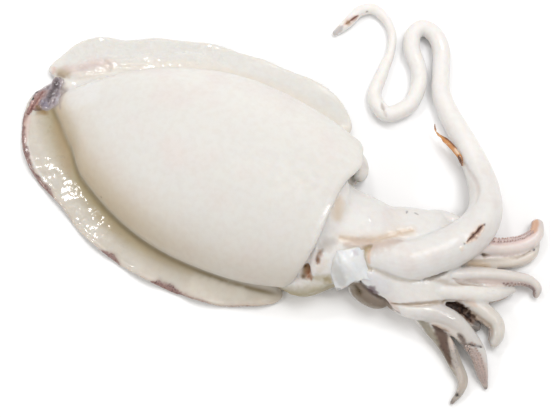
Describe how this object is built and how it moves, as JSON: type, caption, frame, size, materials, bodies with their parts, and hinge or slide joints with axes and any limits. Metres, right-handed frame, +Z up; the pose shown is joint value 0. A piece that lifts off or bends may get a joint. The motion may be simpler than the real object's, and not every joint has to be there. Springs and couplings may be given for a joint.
{
  "type": "whole raw cuttlefish",
  "caption": "Whole raw cuttlefish lying on its back: domed mantle with a wavy fin skirt, open rim, head, spread arms and a long curled tentacle.",
  "frame": {"origin": "on the table under the middle of the mantle, in the flat patch that the animal lies on", "axes": "+X from the mantle's tip to the arms, +Z up through the side of the animal that faces up, +Y to the side where the long tentacle curls"},
  "size_m": [0.304, 0.203, 0.046],
  "materials": {
    "flesh": "wet, milky, slightly translucent raw flesh with purple-brown skin left on the fin edge and arm tips"
  },
  "bodies": {
    "root": {"cuttlefish": "flesh"}
  },
  "joints": []
}
